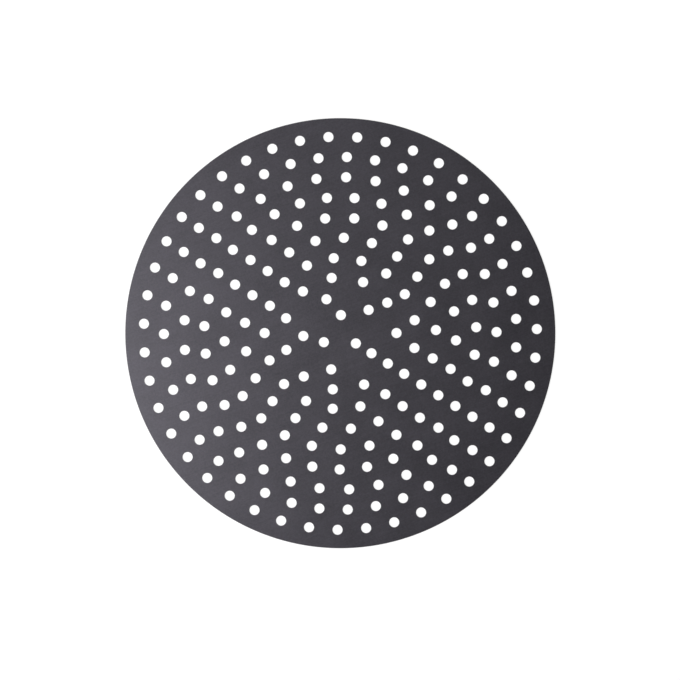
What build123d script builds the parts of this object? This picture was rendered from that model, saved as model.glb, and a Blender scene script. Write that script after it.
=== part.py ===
from build123d import *
from itertools import accumulate
import math
import os

# A flat perforated pizza pan: one round disk of hard-anodised aluminium sheet, without a rim or a
# handle, punched with ten rings of vent holes. Millimetres, +Z up. The origin is the centre of the
# underside, and the pizza lies on the upper face.

# Blank
disk_diameter = 406.4  # 16 inches
sheet_thickness = 1.024  # 18 gauge
edge_break = 0.2  # taken off both corners of the sheared outer edge

# Vent holes
hole_diameter = 9.525  # a 3/8 inch punch
hole_sides = 14  # straight sides that stand for each round hole, which keeps 228 of them light

# Rings of vent holes, from the middle out
middle_step = 17.4625  # from the centre to the first ring, and on to the second
wider_step = 18.25625  # on to the third and the fourth
middle_ring_holes = [3, 5, 11, 17]
outer_ring_holes = [21, 25, 31, 33, 39, 43]  # even steps, out to the last ring
edge_margin = 17.4625  # from the last ring's hole centres to the outer edge
index_angle = -32.16  # degrees from +X: the radial line on which every ring has a hole

# Places that follow from the sizes
disk_radius = disk_diameter / 2
middle_steps = [middle_step, middle_step, wider_step, wider_step]
outer_step = (disk_radius - edge_margin - sum(middle_steps)) / len(outer_ring_holes)
ring_radii = list(accumulate(middle_steps + len(outer_ring_holes) * [outer_step]))
ring_holes = middle_ring_holes + outer_ring_holes

# A many-sided hole as open as the round one has its corners a little outside the circle
side_angle = 2 * math.pi / hole_sides
hole_corner_radius = hole_diameter / 2 * math.sqrt(side_angle / math.sin(side_angle))


def perforated_disk():
    with BuildPart() as disk:
        with BuildSketch():
            Circle(disk_radius)
            for ring_radius, holes in zip(ring_radii, ring_holes):
                with PolarLocations(ring_radius, holes, start_angle=index_angle):
                    RegularPolygon(hole_corner_radius, hole_sides, mode=Mode.SUBTRACT)
        extrude(amount=sheet_thickness)
        outer_edges = disk.edges().filter_by(GeomType.CIRCLE)
        chamfer(outer_edges, edge_break)
    return disk.part


os.makedirs("parts", exist_ok=True)
disk = perforated_disk()
export_step(disk, "parts/perforated_disk.step")
print("perforated_disk:", sum(ring_holes), "holes,", round(disk.volume), "cubic millimetres")
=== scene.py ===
import math

import bmesh
import bpy
from mathutils import Euler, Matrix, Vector
from mathutils.geometry import delaunay_2d_cdt


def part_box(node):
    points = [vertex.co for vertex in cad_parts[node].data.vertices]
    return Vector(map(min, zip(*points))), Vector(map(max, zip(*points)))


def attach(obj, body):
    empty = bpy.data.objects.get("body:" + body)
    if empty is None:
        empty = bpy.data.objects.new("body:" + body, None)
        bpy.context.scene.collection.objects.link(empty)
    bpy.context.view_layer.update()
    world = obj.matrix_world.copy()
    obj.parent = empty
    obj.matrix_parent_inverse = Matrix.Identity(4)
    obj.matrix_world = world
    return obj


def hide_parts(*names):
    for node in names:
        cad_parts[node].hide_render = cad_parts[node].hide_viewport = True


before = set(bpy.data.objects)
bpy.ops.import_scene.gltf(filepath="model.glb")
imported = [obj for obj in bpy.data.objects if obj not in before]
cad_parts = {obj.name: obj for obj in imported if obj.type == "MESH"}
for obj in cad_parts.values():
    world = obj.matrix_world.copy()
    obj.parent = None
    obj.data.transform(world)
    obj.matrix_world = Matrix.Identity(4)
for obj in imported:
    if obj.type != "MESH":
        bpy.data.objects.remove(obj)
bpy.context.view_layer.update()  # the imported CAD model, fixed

# A flat perforated pizza pan, in metres: one disk of hard-anodised aluminium lying on a pale floor.
# +X is right in the photograph, +Y is up in it, and +Z comes out of the baking face.

panLow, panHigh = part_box("perforated_disk")

pan = {
    "radius": panHigh.x,
    "thickness": panHigh.z - panLow.z,
    "middleStep": 0.0174625,  # centre to the first ring, and on to the second
    "widerStep": 0.01825625,  # on to the third and the fourth
    "edgeMargin": 0.0174625,  # from the last ring's hole centres to the outer edge
    "middleHoles": [3, 5, 11, 17],
    "outerHoles": [21, 25, 31, 33, 39, 43],  # these rings share out the rest evenly
    "indexAngle": math.radians(-32.16),  # every ring has a hole on this line
    "rimPoints": 480,  # round the outer edge
    "rimRound": 0.0002,  # the sheared edge, tumbled smooth
    "rimRoundSteps": 4,
}

# A punched hole: the face rolls over into a straight land, which tears out a little wider below
hole = {
    "radius": 0.0047625,  # a 3/8 inch punch
    "points": 48,  # round each hole
    "rollWidth": 0.00016,
    "rollDepth": 0.00022,
    "rollSteps": 4,
    "landDepth": 0.00055,  # from the baking face to where the straight land ends
    "tearWidth": 0.00003,
    "deburr": 0.00008,  # taken off the corner at the underside
    "tornWear": 0.5,  # how rubbed the torn part is, from 0 to 1
}

quarterTurn = math.pi / 2


def holeCentres():
    steps = [pan["middleStep"], pan["middleStep"], pan["widerStep"], pan["widerStep"]]
    outerCount = len(pan["outerHoles"])
    lastRing = pan["radius"] - pan["edgeMargin"]
    steps += [(lastRing - sum(steps)) / outerCount] * outerCount
    centres = []
    radius = 0
    for step, count in zip(steps, pan["middleHoles"] + pan["outerHoles"]):
        radius += step
        for i in range(count):
            angle = pan["indexAngle"] + math.tau * i / count
            centres.append(Vector((radius * math.cos(angle), radius * math.sin(angle), 0)))
    return centres


def holeProfile():
    # (outwards from the hole's axis, height, how worn), from the baking face down to the underside
    top = pan["thickness"]
    rows = []
    for i in range(hole["rollSteps"] + 1):
        turn = quarterTurn * i / hole["rollSteps"]
        out = hole["radius"] + hole["rollWidth"] * (1 - math.sin(turn))
        height = top - hole["rollDepth"] * (1 - math.cos(turn))
        rows.append((out, height, math.sin(2 * turn)))
    rows.append((hole["radius"], top - hole["landDepth"], 0))
    torn = hole["radius"] + hole["tearWidth"]
    rows.append((torn, hole["deburr"], hole["tornWear"]))
    rows.append((torn + hole["deburr"], 0, 0))
    return rows


def rimProfile():
    # the same for the outer edge, from the baking face round to the underside
    rounding = pan["rimRound"]
    rows = []
    for start, middle in ((0, pan["thickness"] - rounding), (quarterTurn, rounding)):
        for i in range(pan["rimRoundSteps"] + 1):
            turn = start + quarterTurn * i / pan["rimRoundSteps"]
            out = pan["radius"] - rounding + rounding * math.sin(turn)
            height = middle + rounding * math.cos(turn)
            rows.append((out, height, abs(math.sin(2 * turn))))
    return rows


def sweepLoops(bm, worn, centre, profile, points, inwards):
    # rings of points round one axis, joined by quads; returns the ring on each face
    loops = []
    for out, height, wear in profile:
        ring = []
        for i in range(points):
            angle = math.tau * i / points
            place = (centre.x + out * math.cos(angle), centre.y + out * math.sin(angle), height)
            vert = bm.verts.new(place)
            vert[worn] = wear
            ring.append(vert)
        loops.append(ring)
    for upper, lower in zip(loops, loops[1:]):
        for i in range(points):
            j = (i + 1) % points
            quad = (upper[i], upper[j], lower[j], lower[i])
            bm.faces.new(quad if inwards else quad[::-1])
    return loops[0], loops[-1]


def fillFace(bm, rings, up):
    # the flat sheet between the rings of all holes and the outer edge
    wholeHull = 0  # ask for triangles everywhere, and leave out the holes below
    mergeDistance = 1e-7
    verts = [v for ring in rings for v in ring]
    owner = [n for n, ring in enumerate(rings) for v in ring]
    edges = []
    first = 0
    for ring in rings:
        edges += [(first + i, first + (i + 1) % len(ring)) for i in range(len(ring))]
        first += len(ring)
    filled = delaunay_2d_cdt([v.co.xy for v in verts], edges, [], wholeHull, mergeDistance)
    triangles = filled[2]  # after the points and the edges
    outerEdge = len(rings) - 1
    for a, b, c in triangles:
        if owner[a] == owner[b] == owner[c] != outerEdge:
            continue  # inside a hole
        corners = (verts[a], verts[b], verts[c])
        bm.faces.new(corners if up else corners[::-1])


def makePan():
    bm = bmesh.new()
    worn = bm.verts.layers.float.new("worn")
    tops = []
    unders = []
    profile = holeProfile()
    for centre in holeCentres():
        top, under = sweepLoops(bm, worn, centre, profile, hole["points"], inwards=True)
        tops.append(top)
        unders.append(under)
    top, under = sweepLoops(bm, worn, Vector(), rimProfile(), pan["rimPoints"], inwards=False)
    fillFace(bm, tops + [top], up=True)
    fillFace(bm, unders + [under], up=False)
    mesh = bpy.data.meshes.new("pizza_pan")
    bm.to_mesh(mesh)
    bm.free()
    mesh.shade_smooth()
    made = bpy.data.objects.new("pizza_pan", mesh)
    bpy.context.scene.collection.objects.link(made)
    made.modifiers.new("flatFaces", "WEIGHTED_NORMAL")  # they stay flat beside their rounded edges
    return made


panObject = makePan()
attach(panObject, "root")
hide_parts("perforated_disk")
print("pan:", len(holeCentres()), "holes,", len(panObject.data.polygons), "faces")


def newMaterial(name):
    material = bpy.data.materials.new(name)
    material.use_nodes = True
    nodes = material.node_tree.nodes
    nodes.clear()
    return material, nodes, material.node_tree.links


# Hard anodising: a thick grey oxide grown out of etched, rolled sheet. It is semi-metallic and
# satin, a little uneven over the disk, finely speckled, and paler where an edge has been rubbed.
coat = {
    "darkColour": (0.051, 0.048, 0.058, 1),
    "lightColour": (0.0848, 0.0796, 0.096, 1),
    "wornColour": (0.105, 0.102, 0.110, 1),
    "wornShare": 0.6,
    "metallic": 0.5,
    "smoothest": 0.45,
    "roughest": 0.55,
    "bumpHeight": 0.000015,
    "bumpStrength": 0.5,
    "rollingTurn": math.radians(20),  # the way that the sheet was rolled
    "noiseLow": 0.35,  # most of a noise lies between these two, so they are stretched apart
    "noiseHigh": 0.65,
    # stretch lengthens a pattern along the rolling, and colour, gloss and relief are its shares there
    "patterns": {
        "mottle": {"size": 0.045, "stretch": 1, "detail": 3, "colour": 0.3, "gloss": 0.4, "relief": 0},
        "speck": {"size": 0.0016, "stretch": 1, "detail": 2, "colour": 0.35, "gloss": 0.2, "relief": 0.2},
        "etch": {"size": 0.0004, "stretch": 1, "detail": 1, "colour": 0.15, "gloss": 0.2, "relief": 0.6},
        "rolling": {"size": 0.0007, "stretch": 60, "detail": 2, "colour": 0.2, "gloss": 0.2, "relief": 0.2},
    },
}


def makePattern(nodes, links, pattern):
    coords = nodes.new("ShaderNodeTexCoord")
    lay = nodes.new("ShaderNodeMapping")
    lay.vector_type = "TEXTURE"
    lay.inputs["Rotation"].default_value = (0, 0, coat["rollingTurn"])
    width = pattern["size"]
    length = width * pattern["stretch"]
    lay.inputs["Scale"].default_value = (length, width, width)
    links.new(coords.outputs["Object"], lay.inputs["Vector"])
    noise = nodes.new("ShaderNodeTexNoise")
    noise.inputs["Scale"].default_value = 1
    noise.inputs["Detail"].default_value = pattern["detail"]
    links.new(lay.outputs[0], noise.inputs["Vector"])
    return noise.outputs["Fac"]


def mixPatterns(nodes, links, noises, use):
    # the sum of all patterns, each by its share in the colour, the gloss or the relief
    total = None
    for name, pattern in coat["patterns"].items():
        part = nodes.new("ShaderNodeMath")
        part.operation = "MULTIPLY_ADD"
        part.inputs[1].default_value = pattern[use]
        part.inputs[2].default_value = 0  # the first has nothing to be added to
        links.new(noises[name], part.inputs[0])
        if total:
            links.new(total, part.inputs[2])
        total = part.outputs[0]
    return total


def spreadPattern(nodes, links, pattern, low, high):
    spread = nodes.new("ShaderNodeMapRange")
    spread.inputs["From Min"].default_value = coat["noiseLow"]
    spread.inputs["From Max"].default_value = coat["noiseHigh"]
    spread.inputs["To Min"].default_value = low
    spread.inputs["To Max"].default_value = high
    links.new(pattern, spread.inputs["Value"])
    return spread.outputs[0]


def coatMaterial():
    material, nodes, links = newMaterial("hardCoat")
    noises = {name: makePattern(nodes, links, pattern) for name, pattern in coat["patterns"].items()}
    out = nodes.new("ShaderNodeOutputMaterial")
    shader = nodes.new("ShaderNodeBsdfPrincipled")
    shader.inputs["Metallic"].default_value = coat["metallic"]
    links.new(shader.outputs[0], out.inputs["Surface"])

    tone = mixPatterns(nodes, links, noises, "colour")
    sheet = nodes.new("ShaderNodeMixRGB")
    sheet.inputs["Color1"].default_value = coat["darkColour"]
    sheet.inputs["Color2"].default_value = coat["lightColour"]
    links.new(spreadPattern(nodes, links, tone, 0, 1), sheet.inputs["Fac"])

    worn = nodes.new("ShaderNodeAttribute")
    worn.attribute_name = "worn"
    wear = nodes.new("ShaderNodeMath")
    wear.operation = "MULTIPLY"
    wear.inputs[1].default_value = coat["wornShare"]
    links.new(worn.outputs["Fac"], wear.inputs[0])
    colour = nodes.new("ShaderNodeMixRGB")
    colour.inputs["Color2"].default_value = coat["wornColour"]
    links.new(wear.outputs[0], colour.inputs["Fac"])
    links.new(sheet.outputs[0], colour.inputs["Color1"])
    links.new(colour.outputs[0], shader.inputs["Base Color"])

    gloss = mixPatterns(nodes, links, noises, "gloss")
    rough = spreadPattern(nodes, links, gloss, coat["smoothest"], coat["roughest"])
    links.new(rough, shader.inputs["Roughness"])

    bump = nodes.new("ShaderNodeBump")
    bump.inputs["Strength"].default_value = coat["bumpStrength"]
    bump.inputs["Distance"].default_value = coat["bumpHeight"]
    links.new(mixPatterns(nodes, links, noises, "relief"), bump.inputs["Height"])
    links.new(bump.outputs[0], shader.inputs["Normal"])
    return material


panObject.data.materials.append(coatMaterial())
print("coat done")


def seenDirectly(nodes, links):
    # 1 for what the camera sees, also in a reflection or through glass, and 0 for light on its way
    path = nodes.new("ShaderNodeLightPath")
    seen = path.outputs["Is Camera Ray"]
    for name in ("Is Glossy Ray", "Is Transmission Ray"):
        either = nodes.new("ShaderNodeMath")
        either.operation = "MAXIMUM"
        links.new(seen, either.inputs[0])
        links.new(path.outputs[name], either.inputs[1])
        seen = either.outputs[0]
    return seen


floor = {
    "size": 16.0,
    "gap": 0.0001,  # below the pan, so that the two faces don't flicker
    "colour": (0.8, 0.8, 0.8, 1),
    "white": 0.97,  # where it is seen
    "litShare": 0.2,  # how much of the lit colour is seen too, with the pan's shadow on it
    "contactShadow": 0.3,  # how much the white darkens right against the pan
    "contactReach": 0.006,
    "contactSamples": 4,
}


def floorMaterial():
    material, nodes, links = newMaterial("paleFloor")
    out = nodes.new("ShaderNodeOutputMaterial")
    diffuse = nodes.new("ShaderNodeBsdfDiffuse")
    diffuse.inputs["Color"].default_value = floor["colour"]

    openness = nodes.new("ShaderNodeAmbientOcclusion")
    openness.samples = floor["contactSamples"]
    openness.inputs["Distance"].default_value = floor["contactReach"]
    strength = floor["white"] / (1 - floor["litShare"])
    level = nodes.new("ShaderNodeMapRange")
    level.inputs["To Min"].default_value = strength * (1 - floor["contactShadow"])
    level.inputs["To Max"].default_value = strength
    links.new(openness.outputs["AO"], level.inputs["Value"])
    white = nodes.new("ShaderNodeEmission")
    links.new(level.outputs[0], white.inputs["Strength"])

    share = nodes.new("ShaderNodeMath")
    share.operation = "MULTIPLY"
    share.inputs[1].default_value = 1 - floor["litShare"]
    links.new(seenDirectly(nodes, links), share.inputs[0])
    mix = nodes.new("ShaderNodeMixShader")
    links.new(share.outputs[0], mix.inputs["Fac"])
    links.new(diffuse.outputs[0], mix.inputs[1])
    links.new(white.outputs[0], mix.inputs[2])
    links.new(mix.outputs[0], out.inputs["Surface"])
    return material


def makeFloor():
    half = floor["size"] / 2
    z = panLow.z - floor["gap"]
    corners = [(-half, -half, z), (half, -half, z), (half, half, z), (-half, half, z)]
    mesh = bpy.data.meshes.new("floor")
    mesh.from_pydata(corners, [], [(0, 1, 2, 3)])
    mesh.materials.append(floorMaterial())
    made = bpy.data.objects.new("floor", mesh)
    bpy.context.scene.collection.objects.link(made)
    return made


makeFloor()
print("floor done")

backdrop = {
    "colour": (1, 1, 1, 1),
    "dome": 0.04,  # faint light from all round
    "white": 1.0,  # the backdrop where it is seen
    "whiteUpTo": 0.25,  # how high it stands, as the sine of the angle above the floor
    "fadedAt": 0.5,  # the sine of the angle above which only the dome is seen
}


def makeBackdrop():
    world = bpy.data.worlds.new("studio")
    world.use_nodes = True
    nodes = world.node_tree.nodes
    links = world.node_tree.links
    nodes.clear()
    out = nodes.new("ShaderNodeOutputWorld")
    sky = nodes.new("ShaderNodeBackground")
    links.new(sky.outputs[0], out.inputs["Surface"])
    coords = nodes.new("ShaderNodeTexCoord")
    split = nodes.new("ShaderNodeSeparateXYZ")
    links.new(coords.outputs["Generated"], split.inputs[0])
    rise = nodes.new("ShaderNodeMapRange")
    rise.inputs["From Min"].default_value = backdrop["whiteUpTo"]
    rise.inputs["From Max"].default_value = backdrop["fadedAt"]
    rise.inputs["To Min"].default_value = 1
    rise.inputs["To Max"].default_value = 0
    links.new(split.outputs["Z"], rise.inputs["Value"])
    shown = nodes.new("ShaderNodeMath")
    shown.operation = "MULTIPLY"
    links.new(rise.outputs[0], shown.inputs[0])
    links.new(seenDirectly(nodes, links), shown.inputs[1])
    level = nodes.new("ShaderNodeMapRange")
    level.inputs["To Min"].default_value = backdrop["dome"]
    level.inputs["To Max"].default_value = backdrop["white"]
    links.new(shown.outputs[0], level.inputs["Value"])
    links.new(level.outputs[0], sky.inputs["Strength"])
    sky.inputs["Color"].default_value = backdrop["colour"]
    bpy.context.scene.world = world


# Round lamps in metres and watts, turned to the pan's centre
lamps = {
    "keyLight": {"place": (-0.51, -0.12, 0.46), "size": 0.7, "power": 6.5},  # a soft box on the left
    "fillLight": {"place": (-0.05, 0.5, 0.9), "size": 0.8, "power": 1.4},
}


def makeLamp(name, settings):
    data = bpy.data.lights.new(name, "AREA")
    data.shape = "DISK"
    data.size = settings["size"]
    data.energy = settings["power"]
    made = bpy.data.objects.new(name, data)
    bpy.context.scene.collection.objects.link(made)
    made.location = settings["place"]
    made.rotation_euler = (-made.location).to_track_quat("-Z", "Y").to_euler()
    made.visible_camera = False


makeBackdrop()
for lampName, lampSettings in lamps.items():
    makeLamp(lampName, lampSettings)
print("light done")

# It looks straight down, but for a slight tilt, and places the pan where the photograph has it
camera = {
    "lens": 127.0,
    "sensor": 36.0,
    "imagePixels": 680,  # the photograph is square
    "outlineRadiusPixels": 215.1,  # the pan's outline in the photograph
    "centrePixels": (340.16, 333.57),  # from its upper left corner
    "tiltUp": math.radians(1.17),
    "tiltRight": math.radians(0.44),
}


def makeCamera():
    focal = camera["lens"] / camera["sensor"] * camera["imagePixels"]
    depth = pan["radius"] * focal / camera["outlineRadiusPixels"]
    middle = camera["imagePixels"] / 2
    across = (camera["centrePixels"][0] - middle) / focal
    up = (middle - camera["centrePixels"][1]) / focal
    turn = Euler((-camera["tiltUp"], camera["tiltRight"], 0))
    data = bpy.data.cameras.new("camera")
    data.lens = camera["lens"]
    data.sensor_width = camera["sensor"]
    made = bpy.data.objects.new("camera", data)
    bpy.context.scene.collection.objects.link(made)
    made.rotation_euler = turn
    made.location = Vector((0, 0, panHigh.z)) - turn.to_matrix() @ Vector((across, up, -1)) * depth
    bpy.context.scene.camera = made


makeCamera()
bpy.context.scene.view_settings.view_transform = "Standard"
print("camera done")
